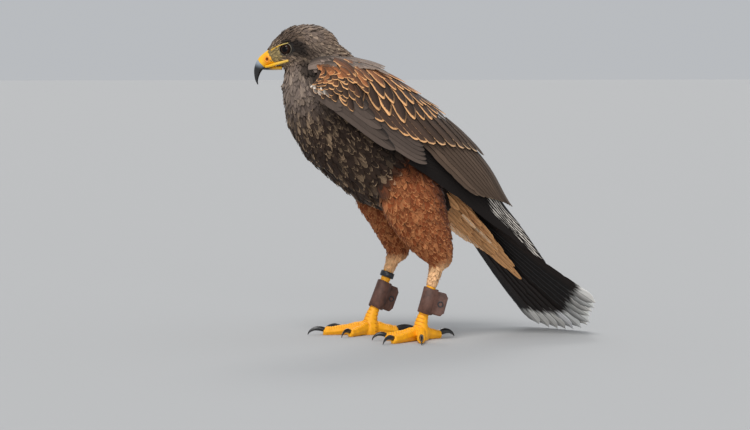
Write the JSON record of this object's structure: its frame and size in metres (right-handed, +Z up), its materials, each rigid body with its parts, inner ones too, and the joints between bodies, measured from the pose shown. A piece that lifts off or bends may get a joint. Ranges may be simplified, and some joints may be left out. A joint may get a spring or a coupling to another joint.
{
  "type": "harris hawk",
  "caption": "Life-size still model of a young Harris's hawk standing on both feet with its head in profile, wearing leather anklets and a leg ring.",
  "frame": {"origin": "on the floor, under the middle of the bird's box", "axes": "+Z up; the bird faces -X, its tail lies towards +X, and its left side faces -Y"},
  "size_m": [0.3668, 0.1722, 0.3272],
  "materials": {
    "plumage": "soft brown plumage, streaked paler",
    "rufous_plumage": "soft rufous plumage with fine pale bars",
    "wing_plumage": "dark brown vanes, shoulders edged with orange",
    "pale_plumage": "soft cream plumage",
    "tail_plumage": "blackish vanes with broad white tips",
    "horn": "polished black horn",
    "bill": "smooth blue-grey horn, black at the tip",
    "cere": "waxy yellow skin",
    "scaly_skin": "yellow scaly skin",
    "eye": "wet, very dark brown",
    "leather": "worn brown leather",
    "ring": "plain black ring"
  },
  "bodies": {
    "root": {"anklet_left": "leather", "anklet_right": "leather", "bill_lower": "bill", "bill_upper": "bill", "cere": "cere", "claw_left_1": "horn", "claw_left_2": "horn", "claw_left_3": "horn", "claw_left_4": "horn", "claw_right_1": "horn", "claw_right_2": "horn", "claw_right_3": "horn", "claw_right_4": "horn", "eye_left": "eye", "eye_right": "eye", "foot_left": "scaly_skin", "foot_right": "scaly_skin", "head": "plumage", "leg_ring": "ring", "neck": "plumage", "tail": "tail_plumage", "tarsus_left": "scaly_skin", "tarsus_right": "scaly_skin", "thigh_left": "rufous_plumage", "thigh_right": "rufous_plumage", "toe_left_1": "scaly_skin", "toe_left_2": "scaly_skin", "toe_left_3": "scaly_skin", "toe_left_4": "scaly_skin", "toe_right_1": "scaly_skin", "toe_right_2": "scaly_skin", "toe_right_3": "scaly_skin", "toe_right_4": "scaly_skin", "torso": "plumage", "undertail_coverts": "pale_plumage", "uppertail_coverts": "pale_plumage", "wing_left_alula": "wing_plumage", "wing_left_coverts": "wing_plumage", "wing_left_primaries": "wing_plumage", "wing_left_secondaries": "wing_plumage", "wing_right_alula": "wing_plumage", "wing_right_coverts": "wing_plumage", "wing_right_primaries": "wing_plumage", "wing_right_secondaries": "wing_plumage"}
  },
  "joints": []
}
